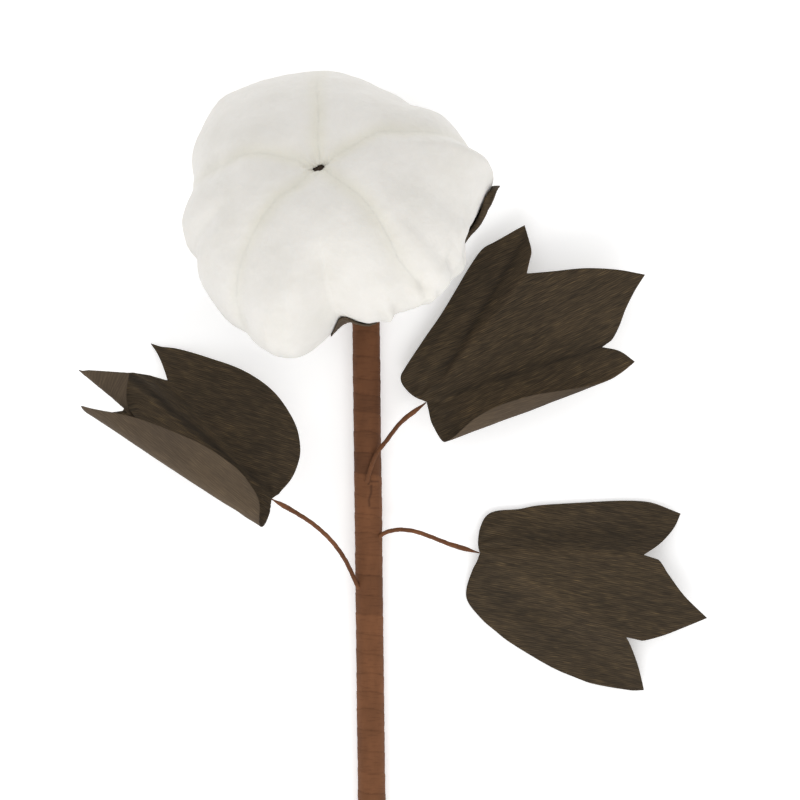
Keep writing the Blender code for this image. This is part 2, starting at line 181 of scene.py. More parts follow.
# %% A small node kit
WHITE, BLACK = (1, 1, 1), (0, 0, 0)
EVEN = (1, 1, 1)        # a noise that isn't stretched


def new_finish(name, **shine):
    """A material with its node tree and its Principled shader; shine sets the shader's inputs."""
    mat = bpy.data.materials.new(name)
    mat.use_nodes = True
    shader = mat.node_tree.nodes["Principled BSDF"]
    for socket, value in shine.items():
        shader.inputs[socket.replace("_", " ")].default_value = value
    return mat, mat.node_tree, shader


def noise_node(tree, source, stretch, scale, detail=3.0, roughness=0.55):
    """Noise of a coordinate output, stretched by a Mapping node's scale."""
    mapping = tree.nodes.new("ShaderNodeMapping")
    mapping.inputs["Scale"].default_value = stretch
    noise = tree.nodes.new("ShaderNodeTexNoise")
    noise.inputs["Scale"].default_value = scale
    noise.inputs["Detail"].default_value = detail
    noise.inputs["Roughness"].default_value = roughness
    tree.links.new(source, mapping.inputs["Vector"])
    tree.links.new(mapping.outputs["Vector"], noise.inputs["Vector"])
    return noise.outputs["Fac"]


def ramp_node(tree, value, *stops):
    """Colour ramp through (position, colour) stops."""
    ramp = tree.nodes.new("ShaderNodeValToRGB")
    tree.links.new(value, ramp.inputs["Fac"])
    while len(ramp.color_ramp.elements) < len(stops):
        ramp.color_ramp.elements.new(0.5)
    for element, (position, colour) in zip(ramp.color_ramp.elements, stops):
        element.position = position
        element.color = (*colour, 1.0)
    return ramp.outputs["Color"]


def mix_colours(tree, share, first, second, blend="MIX"):
    """Mix node of two colours, or of two outputs; share is a number or an output."""
    mix = tree.nodes.new("ShaderNodeMix")
    mix.data_type = "RGBA"
    mix.blend_type = blend
    if isinstance(share, float):
        mix.inputs["Factor"].default_value = share
    else:
        tree.links.new(share, mix.inputs["Factor"])
    for socket, colour in (("A", first), ("B", second)):
        target = [s for s in mix.inputs if s.identifier == socket + "_Color"][0]
        if isinstance(colour, tuple):
            target.default_value = (*colour, 1.0)
        else:
            tree.links.new(colour, target)
    return [s for s in mix.outputs if s.identifier == "Result_Color"][0]


def times(tree, colour, *tints):
    """The colour multiplied by each tint in turn."""
    for tint in tints:
        colour = mix_colours(tree, 1.0, colour, tint, "MULTIPLY")
    return colour


def bump_node(tree, shader, strength, *heights):
    """Bump from (height output, depth in millimetres) pairs, each on top of the one before."""
    normal = None
    for height, depth in heights:
        bump = tree.nodes.new("ShaderNodeBump")
        bump.inputs["Strength"].default_value = strength
        bump.inputs["Distance"].default_value = depth * MM
        tree.links.new(height, bump.inputs["Height"])
        if normal is not None:
            tree.links.new(normal, bump.inputs["Normal"])
        normal = bump.outputs["Normal"]
    tree.links.new(normal, shader.inputs["Normal"])


def object_coordinates(tree):
    return tree.nodes.new("ShaderNodeTexCoord").outputs["Object"]


def attribute(tree, name):
    node = tree.nodes.new("ShaderNodeAttribute")
    node.attribute_name = name
    return node.outputs["Fac"]


# %% Cotton wadding
COTTON_LIGHT = (0.800, 0.777, 0.735)
COTTON_SHADE = (0.755, 0.732, 0.683)
COTTON_SPECK = (0.30, 0.22, 0.14)
# Tint of the painted shade in the creases of the cotton.
COTTON_CREASE_SHADE = (0.982, 0.976, 0.915)


def cotton_finish():
    """White wadding: soft blotches, painted shade in the creases, fibres of a tenth of a millimetre,
    and a few husk specks of 0.5 mm."""
    mat, tree, shader = new_finish(
        "cotton_wadding", Roughness=1.0, Subsurface_Weight=0.2, Subsurface_Radius=(1.0, 0.9, 0.8),
        Subsurface_Scale=0.002, Specular_IOR_Level=0.15, Sheen_Weight=0.25, Sheen_Roughness=0.6)
    place = object_coordinates(tree)
    blotch = noise_node(tree, place, EVEN, 60, 4)
    colour = ramp_node(tree, blotch, (0.3, COTTON_SHADE), (0.6, COTTON_LIGHT))
    speck = tree.nodes.new("ShaderNodeTexVoronoi")
    speck.inputs["Scale"].default_value = 55
    tree.links.new(place, speck.inputs["Vector"])
    is_speck = ramp_node(tree, speck.outputs["Distance"], (0.0, WHITE), (0.028, BLACK))
    rare = ramp_node(tree, noise_node(tree, place, EVEN, 35, 0), (0.55, BLACK), (0.6, WHITE))
    colour = mix_colours(tree, times(tree, is_speck, rare), colour, COTTON_SPECK)
    # Painted shade: the creases are darkened and warmed by the attribute valley.
    valley = ramp_node(tree, attribute(tree, "valley"), (0.0, WHITE), (1.0, COTTON_CREASE_SHADE))
    tree.links.new(times(tree, colour, valley), shader.inputs["Base Color"])
    fibre = noise_node(tree, place, EVEN, 1500, 5, 0.7)
    tuft = noise_node(tree, place, EVEN, 260, 4, 0.6)
    bump_node(tree, shader, 0.6, (tuft, 0.5), (fibre, 0.15))
    return mat


cotton = cotton_finish()


# %% Crepe paper
CREPE_DARK = (0.030, 0.0205, 0.0115)
CREPE_MID = (0.046, 0.0325, 0.0185)
CREPE_LIGHT = (0.078, 0.055, 0.029)
# Colour of the painted highlights, the glints along the grain.
CREPE_GLINT_HIGHLIGHT = (0.135, 0.092, 0.043)
UNDERSIDE_DARK = (0.089, 0.064, 0.042)
UNDERSIDE_LIGHT = (0.125, 0.090, 0.057)
# Painted light and shade of the crepe's relief: factors for its troughs, then for its crests.
FRONT_RELIEF_SHADING = ((0.80, 0.80, 0.80), (1.22, 1.20, 1.17))
BACK_RELIEF_SHADING = ((0.94, 0.94, 0.94), (1.06, 1.06, 1.05))
CREPE_LINES = 390       # wave scale that makes a line every 0.8 mm


def crepe_finish(name, dark, mid, light, glint_highlight, relief):
    """Crepe paper: streaks along V of the flat pattern, 6 mm long, over regular fine lines.

    The attribute "ridge" is the modelled crepe's height: painted light on crests, shade in troughs.
    The attribute "fold" is 0 along a valley fold, 1 along a ridge and 0.5 elsewhere: painted
    shade in valleys and shaded facets, painted light on ridges and lit facets.
    """
    mat, tree, shader = new_finish(name, Roughness=0.82, Specular_IOR_Level=0.25)
    flat = tree.nodes.new("ShaderNodeUVMap")
    flat.uv_map = FLAT_MAP
    place = flat.outputs["UV"]
    line = tree.nodes.new("ShaderNodeTexWave")
    line.inputs["Scale"].default_value = CREPE_LINES
    line.inputs["Distortion"].default_value = 5
    line.inputs["Detail Scale"].default_value = 0.35
    tree.links.new(place, line.inputs["Vector"])
    streak = noise_node(tree, place, (1.0, 0.05, 1), 3600, 2, 0.5)
    glint = noise_node(tree, place, (1.0, 0.045, 1), 3300, 1, 0.5)
    patch = noise_node(tree, place, (1, 0.6, 1), 45, 3)
    base = ramp_node(tree, streak, (0.30, dark), (0.50, mid), (0.72, light))
    # Painted highlights: sparse glints along the grain, in the glint colour.
    rare = ramp_node(tree, glint, (0.62, BLACK), (0.84, WHITE))
    # Painted light and shade: fine lines and modelled crests paler, troughs darker.
    comb = ramp_node(tree, line.outputs["Fac"], (0.2, relief[0]), (0.8, relief[1]))
    crest = ramp_node(tree, attribute(tree, "ridge"), (0.25, relief[0]), (0.75, relief[1]))
    # Painted shade in valley folds and shaded facets, painted light on ridges and lit facets.
    fold = ramp_node(tree, attribute(tree, "fold"), (0.0, (0.55, 0.55, 0.56)), (0.5, WHITE),
                     (1.0, (1.35, 1.32, 1.27)))
    worn = ramp_node(tree, patch, (0.35, (0.90, 0.90, 0.92)), (0.7, (1.13, 1.11, 1.06)))
    colour = times(tree, mix_colours(tree, rare, base, glint_highlight), comb, crest, fold, worn)
    tree.links.new(colour, shader.inputs["Base Color"])
    bump_node(tree, shader, 0.7, (streak, 0.25))
    return mat


leaf_front = crepe_finish("leaf_crepe_front", CREPE_DARK, CREPE_MID, CREPE_LIGHT, CREPE_GLINT_HIGHLIGHT,
                          FRONT_RELIEF_SHADING)
leaf_back = crepe_finish("leaf_crepe_back", UNDERSIDE_DARK, UNDERSIDE_DARK, UNDERSIDE_LIGHT,
                         UNDERSIDE_LIGHT, BACK_RELIEF_SHADING)
bract_paper = crepe_finish("bract_crepe", CREPE_DARK, CREPE_MID, CREPE_LIGHT, CREPE_LIGHT,
                           FRONT_RELIEF_SHADING)


# %% Paper tape
TAPE_DARK, TAPE_LIGHT = (0.095, 0.0375, 0.0155), (0.198, 0.080, 0.033)


def tape_finish():
    """Waxed paper tape: each turn has its own tone, with faint crosswise creases."""
    mat, tree, shader = new_finish("stalk_tape", Roughness=0.75, Specular_IOR_Level=0.22)
    place = object_coordinates(tree)
    turn = ramp_node(tree, attribute(tree, "turn"), (0.0, TAPE_DARK), (1.0, TAPE_LIGHT))
    cloud = noise_node(tree, place, (1, 0.5, 1), 120, 4)
    crease = noise_node(tree, place, (0.16, 1, 0.16), 1100, 3, 0.6)
    shade = ramp_node(tree, cloud, (0.3, (0.82, 0.80, 0.78)), (0.7, (1.15, 1.13, 1.12)))
    line = ramp_node(tree, crease, (0.32, (0.82, 0.80, 0.78)), (0.48, WHITE))
    edge = ramp_node(tree, attribute(tree, "edge"), (0.0, WHITE), (1.0, (0.86, 0.85, 0.84)))
    tree.links.new(times(tree, turn, shade, line, edge), shader.inputs["Base Color"])
    bump_node(tree, shader, 0.5, (cloud, 0.5), (crease, 0.12))
    return mat


tape = tape_finish()

# %% [markdown]
# ## The cotton head
# The head is wadding pulled over a core in five puffs that meet at soft creases.  Sculpting it
# would be quick, but a formula keeps all five locks on one shared surface, so the creases close
# exactly.  The surface is a flattened ball around a leaning axis.  Its rim bulges by given
# shares, the crown is pushed in, and every crease is a valley that fades towards the rim.

# %% Ball of the head
CENTRE = vec(4.0, -18.0, 48.6)
RADIUS, RISE, DROP = 63.0, 43.0, 40.0
TILT, HEADING = 32.0, 20.8
LOCK_FLOOR = 1.3


def direction(azimuth, elevation):
    """Unit vector; azimuth in degrees from +Y towards -X, elevation in degrees from level."""
    a, e = math.radians(azimuth), math.radians(elevation)
    return vec(-math.sin(a) * math.cos(e), math.cos(a) * math.cos(e), math.sin(e))


AXIS = direction(HEADING, 90.0 - TILT)
UPPER = direction(HEADING, -TILT)
SIDE = np.cross(UPPER, AXIS)


def radial(around):
    """Unit vectors square to the axis, at azimuths in degrees from UPPER towards SIDE."""
    b = np.radians(around)
    return np.multiply.outer(np.cos(b), UPPER) + np.multiply.outer(np.sin(b), SIDE)


def ease(value, low, high):
    """0 below low, 1 above high, and 3t^2 - 2t^3 between."""
    t = np.clip((value - low) / (high - low), 0.0, 1.0)
    return t * t * (3 - 2 * t)


def between(value, start, full, wane, end):
    """0 up to start, eased to 1 at full, and eased back from 1 at wane to 0 at end."""
    return ease(value, start, full) * (1 - ease(value, wane, end))


# %% Bulges of the rim, and the creases
# (azimuth, share of RADIUS) around the rim
RIM = ((-179, 0.88), (-170, 0.80), (-165, 0.77), (-160, 0.85), (-155, 0.98), (-150, 1.10),
       (-143, 1.13), (-136, 1.09), (-130, 1.045), (-120, 1.035), (-110, 1.0), (-100, 0.98),
       (-91, 0.91), (-84, 0.965), (-76, 0.975), (-68, 0.94), (-60, 0.935), (-54, 0.95),
       (-46, 1.02), (-38, 1.06), (-24, 1.13), (-14, 1.085), (-4, 1.055), (8, 1.015), (18, 1.01),
       (26, 0.97), (34, 0.935), (44, 0.893), (52, 0.89), (62, 0.89), (68, 0.94), (74, 1.0),
       (84, 1.0), (92, 1.03), (99, 1.13), (104, 1.075), (111, 1.01), (118, 0.973), (125, 0.97),
       (132, 1.015), (138, 1.02), (144, 1.01), (149, 1.04), (156, 0.98), (164, 0.95), (172, 0.93))
# Where a lock starts: (polar, azimuth) stops from the crown outwards, and the depth in millimetres
CREASES = {
    "left": (((14, -120), (20, -116), (49, -121), (61, -124), (74, -127), (84, -130)), 2.3),
    "top_left": (((24, -55), (32, -56), (43, -61), (58, -62)), 1.9),
    "top_right": (((18, 21), (38, 17.5)), 0.5),
    "right": (((17, 85.5), (28, 82.5), (37, 87), (62, 90.5)), 2.0),
    "bottom": (((15, 153), (26, 152), (36, 154.5), (48, 157), (62, 159), (83, 157)), 2.0),
}
HOLE = vec(-2.8, 2.1)       # middle of the crown's hole, off the axis along UPPER and SIDE
CROWN_DEPTH, CROWN_WIDTH = 6.4, 14.0
HOLE_DIP, HOLE_WIDTH = 4.0, 5.5
CREASE_WIDTH = 5.5


def rim_share(around):
    """Share of the ball's radius at an azimuth: straight lines between the stops, then a mean
    over three degrees so the bulges are round."""
    stops, shares = np.array(RIM).T
    spread = np.linspace(-1.5, 1.5, 5)
    near = np.add.outer(around, spread)
    return np.interp(near, stops, shares, period=360.0).mean(axis=-1)


def crease_azimuth(name, polar):
    stops, _ = CREASES[name]
    angles, azimuths = np.array(stops, dtype=float).T
    return np.interp(polar, angles, azimuths)


def crease_depth(polar, around, out):
    """Depth of the valleys: a bell curve of the distance to each crease."""
    total = np.zeros(np.broadcast(polar, around).shape)
    fade = (1 - 0.65 * ease(polar, 25, 95)) * between(polar, 1, 14, 105, 140)
    for name, (_, depth) in CREASES.items():
        turn = (around - crease_azimuth(name, polar) + 180.0) % 360.0 - 180.0
        distance = np.abs(np.radians(turn)) * out / CREASE_WIDTH
        total += depth * fade * np.exp(-distance ** 2)
    return total


# %% Surface of the head
HILLS = ((24.0, 1.1, 3), (9.0, 0.45, 4), (3.0, 0.13, 5), (1.1, 0.05, 6))  # length, height, seed
FINE_LENGTH = 3.5       # paper that follows the cotton leaves out the hills shorter than this
PUCKER_REACH, PUCKER_WIDTH, PUCKER_HEIGHT = 4.5, 3.5, 1.1


def lumps(points, fine):
    """Hills of the wadding in millimetres; fine is the share of the short ones."""
    total = 0.0
    for length, height, seed in HILLS:
        share = fine if length < FINE_LENGTH else 1.0
        total = total + share * height * hills(*np.moveaxis(points / length, -1, 0), seed=seed)
    return total


def ruffle(polar, around):
    """Deep folds of 5 mm in the rim between the right and the bottom lock."""
    where = between(around % 360, 112, 125, 170, 185) * between(polar, 70, 88, 120, 130)
    return 2.2 * where * hills(np.radians(around) * RADIUS / 5, polar / 14, seed=7)


def pucker(outward, out):
    """Gathers around the crown's hole: hills of the direction, in a ring around the axis."""
    gathers = hills(outward[..., 0] * 4, outward[..., 1] * 4, out / 3, seed=8)
    return PUCKER_HEIGHT * gathers * np.exp(-((out - PUCKER_REACH) / PUCKER_WIDTH) ** 2)


def head_surface(polar, around, proud=0.0, fine=1.0):
    """Points of the wadding: polar angle from the crown and azimuth, in degrees.

    height = RISE (or DROP behind) x cos polar, reach = RADIUS x share x sin polar, then along the
    ball's normal: + proud, hills, ruffle and pucker, - creases, and along the axis: - crown hollow.
    The ball is squeezed along UPPER near the axis, so the crown's hole is a slot.
    """
    polar, around = np.broadcast_arrays(np.asarray(polar, float), np.asarray(around, float))
    p = np.radians(polar)
    share = 1 + (rim_share(around) - 1) * between(polar, 22, 60, 120, 158)
    out = RADIUS * share * np.sin(p)
    up = np.where(np.cos(p) > 0, RISE, DROP) * np.cos(p)
    outward = radial(around)
    normal = np.cos(p)[..., None] / RISE * AXIS + np.sin(p)[..., None] / RADIUS * outward
    normal /= np.linalg.norm(normal, axis=-1)[..., None]
    shift = (HOLE[0] * UPPER + HOLE[1] * SIDE) * (np.cos(p) * (np.cos(p) > 0))[..., None] ** 2
    squeeze = 0.5 * (1 - ease(out, 2.5, 9.0))
    squeezed = outward - (squeeze * np.cos(np.radians(around)))[..., None] * UPPER
    points = CENTRE + up[..., None] * AXIS + out[..., None] * squeezed + shift
    height = (lumps(points, fine) + ruffle(polar, around)) * ease(polar, 1, 9)
    height = height + pucker(outward, out) + proud - crease_depth(polar, around, out)
    hollow = CROWN_DEPTH * np.exp(-(out / CROWN_WIDTH) ** 2)
    hollow = hollow + HOLE_DIP * np.exp(-(out / HOLE_WIDTH) ** 2)
    return points + height[..., None] * normal - hollow[..., None] * AXIS


# %% Five locks
HOLE_RADIUS, BORE_RADIUS = 2.6, 7.2
BORE_TOP, HOLE_FLOOR, NECK = 31.5, 33.5, 2.5    # the bore narrows to the hole over NECK
LOCK_CLEARANCE = 0.005
ARC_STEPS, BORE_STEPS, WIDE_STEPS = 300, 26, 168
BACK_POLAR = 172.0
ARC_POLAR = np.linspace(math.degrees(math.asin(HOLE_RADIUS / RADIUS)), BACK_POLAR, ARC_STEPS)
ARC_REACH = RADIUS * np.sin(np.radians(ARC_POLAR))
EDGE_STEP = 0.0008      # share of a lock's width over which its corner is rounded
WALL_RINGS = (0.2, 0.6, 0.95, 0.9995)   # sizes of the rings that fill the wall of a crease
CREASE_SHADE_WIDTH, HALF_LOCK = 3.8, 0.6      # millimetres, and radians


def lock_outline(around_of):
    """One closed outline: over the outside from the hole to the back, then up inside the bore."""
    outside = head_surface(ARC_POLAR, around_of(ARC_POLAR, ARC_REACH))
    foot = DROP * math.cos(math.radians(BACK_POLAR)) + 1.0
    tall = np.linspace(foot, HOLE_FLOOR, BORE_STEPS)
    narrow = ease(tall, BORE_TOP - NECK, BORE_TOP)
    wide = BORE_RADIUS + (HOLE_RADIUS + 0.3 - BORE_RADIUS) * narrow
    shift = np.multiply.outer(ease(tall, 27, BORE_TOP), HOLE[0] * UPPER + HOLE[1] * SIDE)
    polar_inside = np.linspace(BACK_POLAR, ARC_POLAR[0], BORE_STEPS)
    facing = radial(around_of(polar_inside, wide))
    facing = facing - np.multiply.outer(0.5 * narrow, UPPER) * (facing @ UPPER)[:, None]
    inside = CENTRE + tall[:, None] * AXIS + wide[:, None] * facing + shift
    return np.concatenate([outside, inside])


def painted_crease_shade(spread):
    """Share of painted shade in the creases: 1 in those near the crown and 0.4 in those of the rim,
    fading with the distance from the lock's edge; 1 inside the bore."""
    beside = np.outer(1 - np.abs(spread), ARC_REACH) * HALF_LOCK / CREASE_SHADE_WIDTH
    outside = np.exp(-beside ** 2) * (1 - 0.6 * ease(ARC_POLAR, 15, 70))
    return np.concatenate([outside, np.ones((len(spread), BORE_STEPS))], axis=1)


def cotton_lock(name, following):
    """Outlines fanned around the axis from one crease to the next, then closed over the walls."""
    def around_of(u):
        def at(polar, reach):
            first = crease_azimuth(name, polar)
            last = crease_azimuth(following, polar)
            last = np.where(last < first, last + 360.0, last)
            half = (last - first) / 2 - np.degrees(LOCK_CLEARANCE / np.maximum(reach, HOLE_RADIUS))
            return (first + last) / 2 + u * half
        return at
    inner = np.linspace(-1.0 + EDGE_STEP, 1.0 - EDGE_STEP, WIDE_STEPS)
    spread = np.concatenate([[-1.0], inner, [1.0]])
    rings = np.array([lock_outline(around_of(u)) for u in spread])
    walls = []
    for edge in (rings[0], rings[-1]):
        heart = edge.mean(axis=0)
        walls.append(np.array([heart + (edge - heart) * size for size in WALL_RINGS]))
    rings = np.concatenate([walls[0], rings, walls[1][::-1]])
    rings[..., 2] = np.maximum(rings[..., 2], LOCK_FLOOR)
    added = len(WALL_RINGS)
    # Painted shade in the creases, kept as the attribute valley.
    tint = np.pad(painted_crease_shade(spread), ((added, added), (0, 0)), mode="edge")
    piece = closed_skin("wadding_" + name, rings, tones={"valley": tint})
    stand_in(piece, "cotton_lock_" + name, "cotton", cotton)


lock_names = list(CREASES)
for lock, following in zip(lock_names, lock_names[1:] + lock_names[:1]):
    cotton_lock(lock, following)

# %% [markdown]
# ## Under the cotton
# The wadding hides a woody core, whose crumpled top shows at the bottom of the crown.  Behind it
# sit five pointed scales of crepe paper and a shallow paper cup.  The scales are grids that follow
# the head's own surface a little further out, so they can never cut into the cotton.

# %% Woody core
HUSK_RADIUS, HUSK_FOOT = 6.3, -33.0
DOME_FOOT, DOME_TOP, DOME_HEIGHT = 27.0, 32.5, 6.2


def husk_core():
    """A rod along the axis whose radius wanders, domed at the top towards the crown's hole."""
    tall = np.concatenate([np.linspace(HUSK_FOOT, DOME_FOOT, 60),
                           np.linspace(DOME_FOOT + 0.5, DOME_TOP, 20)])
    dome = np.sqrt(np.clip(1 - ((tall - DOME_FOOT) / DOME_HEIGHT) ** 2, 0.02, 1))
    wide = HUSK_RADIUS * np.where(tall < DOME_FOOT, 1.0, dome)
    turn = np.arange(72) * 5.0
    rough = 1 - 0.06 * (1 + hills(tall[:, None] / 2.5, turn[None] / 20.0, seed=11)) / 2
    lean = np.multiply.outer(ease(tall, 22, 32), 0.6 * (HOLE[0] * UPPER + HOLE[1] * SIDE))
    rings = CENTRE + (tall[:, None] * AXIS + lean)[:, None]
    rings = rings + (wide[:, None] * rough)[..., None] * radial(turn)[None]
    return closed_skin("husk_core", rings)


def husk_finish():
    mat, tree, shader = new_finish("dry_husk", Roughness=0.9)
    grain = noise_node(tree, object_coordinates(tree), EVEN, 420, 4, 0.65)
    colour = ramp_node(tree, grain, (0.35, (0.020, 0.013, 0.009)), (0.65, (0.10, 0.062, 0.036)))
    tree.links.new(colour, shader.inputs["Base Color"])
    bump_node(tree, shader, 0.8, (grain, 0.5))
    return mat


husk = husk_finish()
stand_in(husk_core(), "receptacle", "husk", husk)

# %% Scales
SCALE_FOOT = 165.0      # polar angle at which every scale starts
SCALE_PAPER, SCALE_GAP = 0.5, 0.35
SCALES = {      # azimuth, polar angle of the tip, half angle, lift of the tip, paper
    "left": (-95.0, 112.0, 28.0, 0.0, bract_paper),
    "top_left": (-14.0, 104.0, 28.0, 0.0, bract_paper),
    "top_right": (48.0, 108.0, 28.0, 0.0, bract_paper),
    "right": (107.5, 95.0, 17.0, 3.0, bract_paper),
    "bottom": (190.0, 106.0, 17.0, 0.4, leaf_back),
}


def two_faces(front, back=None):
    """Rings of a sheet: across the front face, then back across the other face."""
    back = front if back is None else back
    return np.concatenate([front, back[:, ::-1]], axis=1)


def scale_sheet(name, turn, tip, half_width, lift, paper):
    """A pointed scale: width 0.06 + 0.94 (1 - t^2)^0.7 of its half angle, wrinkled along its
    length and thicker towards a tip that lifts off the cotton."""
    along = np.linspace(0.0, 1.0, 110)[:, None]
    across = np.linspace(-1.0, 1.0, 100)[None, :]
    width = 0.06 + 0.94 * (1 - along ** 2) ** 0.7
    polar = SCALE_FOOT + (tip - SCALE_FOOT) * along + 0 * across
    around = turn + half_width * width * across
    wander = across * 9 + 3 * hills(along * 3, across, seed=13)
    wrinkle = 0.5 + 0.5 * hills(wander, along * 4, seed=12)
    wrinkle = wrinkle + 0.35 * hills(across * 30, along * 12, seed=14)
    off = SCALE_GAP + 0.6 * wrinkle * ease(along, 0, 0.3) + 0.2 * lift * along ** 2
    inner = head_surface(polar, around, off, 0.0)
    outer = head_surface(polar, around, off + SCALE_PAPER + 0.8 * lift * along ** 2, 0.0)
    inner[..., 2] = np.maximum(inner[..., 2], 0.7)
    outer[..., 2] = np.maximum(outer[..., 2], 0.0)
    rings = two_faces(outer, inner)
    flat = np.stack([0.05 * width * across, 0.07 * along + 0 * across], axis=-1)
    ridge = two_faces(np.clip(0.5 + wrinkle * 0.5, 0, 1))
    piece = closed_skin("scale_" + name, rings, uv=two_faces(flat),
                        tones={"ridge": ridge, "fold": np.full(ridge.shape, 0.5)})
    stand_in(piece, "bract_" + name, "bract_paper", paper)


for scale, shape in SCALES.items():
    scale_sheet(scale, *shape)

# %% Paper cup
CUP_OUTLINE = ((4.4, -40.9), (9, -40.4), (13.8, -39.8), (14.0, -40.6), (13.6, -41.4), (9, -42.6),
               (4.4, -43.4))    # radius, height along the axis


def paper_cup():
    """The cup's outline turned around the axis, with small pleats."""
    turn = np.arange(240) * 1.5
    pleat = 1 + 0.02 * hills(turn / 11.25, seed=15)
    rings = np.stack([CENTRE + height * AXIS + (radius * pleat)[:, None] * radial(turn)
                      for radius, height in CUP_OUTLINE], axis=1)
    return closed_skin("paper_cup", rings, joined=True)


stand_in(paper_cup(), "calyx_cup", "bract_paper", husk)

# %% [markdown]
# ## The stem
# A wire core is wound with half-lapped paper tape, so the stem shows a low step once per turn,
# slightly askew.  A screw modifier could wind a real strip, but it would leave hidden layers.  One
# skin whose radius is a saw-tooth of (distance along / pitch + turn) shows the same edges.

# %% Stem path
STEM_CUT_Y = -411.0
STRAIGHT_END = vec(19.6, -67.0, 8.4)
STEM_SLOPE_X = 0.0119
NECK_DEPTH = 45.0
BEND_PULLS = (9.0, 8.0)         # lengths of the bend's handles
WRAP_RADIUS, NECK_RADIUS, CORE_RADIUS = 5.9, 5.2, 3.6


def stem_path(count):
    """Straight run on the table, then a cubic bend that arrives along the boll's axis."""
    length = STRAIGHT_END[1] - STEM_CUT_Y
    cut = vec(STRAIGHT_END[0] + STEM_SLOPE_X * length, STEM_CUT_Y, WRAP_RADIUS)
    heading = (STRAIGHT_END - cut) / np.linalg.norm(STRAIGHT_END - cut)
    neck = CENTRE - NECK_DEPTH * AXIS
    straight = cut + (STRAIGHT_END - cut) * np.linspace(0.0, 1.0, 600)[:, None]
    bend = bezier(STRAIGHT_END, STRAIGHT_END + BEND_PULLS[0] * heading,
                  neck - BEND_PULLS[1] * AXIS, neck, 80)
    return even_steps(np.concatenate([straight, bend[1:]]), count)


def distance_run(path):
    """Distance from the start of a polyline to each of its points."""
    return np.concatenate([[0], np.cumsum(np.linalg.norm(np.diff(path, axis=0), axis=1))])


def points_at(path, distances):
    run = distance_run(path)
    return np.stack([np.interp(distances, run, column) for column in path.T], axis=-1)


def even_steps(path, count):
    """The same path with points at equal distances."""
    return points_at(path, np.linspace(0, distance_run(path)[-1], count))


def tube(path, radius, reference):
    """Rings [point, turn] around a path; radius is an array over (point, turn)."""
    tangent = np.gradient(path, axis=0)
    tangent /= np.linalg.norm(tangent, axis=1)[:, None]
    first = np.cross(tangent, reference)
    first /= np.linalg.norm(first, axis=1)[:, None]
    second = np.cross(tangent, first)
    turn = (np.arange(radius.shape[1]) * 2 * math.pi / radius.shape[1])[None, :, None]
    ring = np.cos(turn) * first[:, None] + np.sin(turn) * second[:, None]
    return path[:, None] + radius[..., None] * ring


# %% Tape
TAPE_PITCH, TAPE_STEP = 8.4, 0.16
STEM_RINGS, STEM_SIDES = 1180, 80
BORE_STRIDE = 25        # the hidden bore keeps every 25th ring
RIDGE_X, RIDGE_FOOT_Y, RIDGE_LIP_Y = 20.4, -145.0, -132.5
SLIT = (20.7, 25.5, -144.6, -131.8)     # X from and to, Y from and to


def wound_radius(run, turn, pitch, step, seed):
    """Extra radius of half-lapped tape, and the tone and edge values that colour it.

    phase = run / pitch + turn; its fraction climbs over a turn of tape and drops at the edge.
    A sine keeps the edges nearly level across the top.
    """
    wobble = 0.16 * hills(run / 13.0, turn * 4.0, seed=seed)
    level = turn + 0.11 * np.sin(2 * math.pi * turn)
    phase = run / pitch + level + wobble + 0.25 * hills(run / 19.0, 0 * turn, seed=seed + 1)
    lap, climbed = np.floor(phase), phase % 1.0
    saw = climbed * (1 - ease(climbed, 0.95, 1.0))
    tone = 0.5 + 0.3 * hills(lap * 0.73, seed=seed + 2)
    return step * saw, tone, ease(climbed, 0.93, 0.99)


def buried_wire(points):
    """Lift of the tape over the wire that dives under it: a low ridge that ends in a lip."""
    x, y, z = np.moveaxis(points, -1, 0)
    across = np.exp(-((x - RIDGE_X) / 1.5) ** 2) * (z > WRAP_RADIUS)
    return 0.75 * across * between(y, RIDGE_FOOT_Y, RIDGE_FOOT_Y + 6, RIDGE_LIP_Y - 0.8, RIDGE_LIP_Y)


def slit_shade(points):
    """Painted shade in the gaps around the flap of tape where the wire dives under: 1 in the gaps, a
    bell curve around one lengthwise and two crosswise lines of SLIT."""
    x, y, z = np.moveaxis(points, -1, 0)
    left, right, low, high = SLIT
    tall = between(y, low, low + 1, high, high + 1)
    wide = between(x, left, left + 1, right - 1, right)
    lean = 0.12 * (y - low) * (y < high - 3) + 0.5 * hills(y / 3, seed=27)
    lines = np.exp(-((x - left - lean) / 0.45) ** 2) * tall
    lines = np.maximum(lines, np.exp(-((y - low) / 0.4) ** 2) * wide * 0.5)
    lines = np.maximum(lines, np.exp(-((y - high + 1.5) / 0.4) ** 2) * wide * 0.8)
    return lines * (z > WRAP_RADIUS)


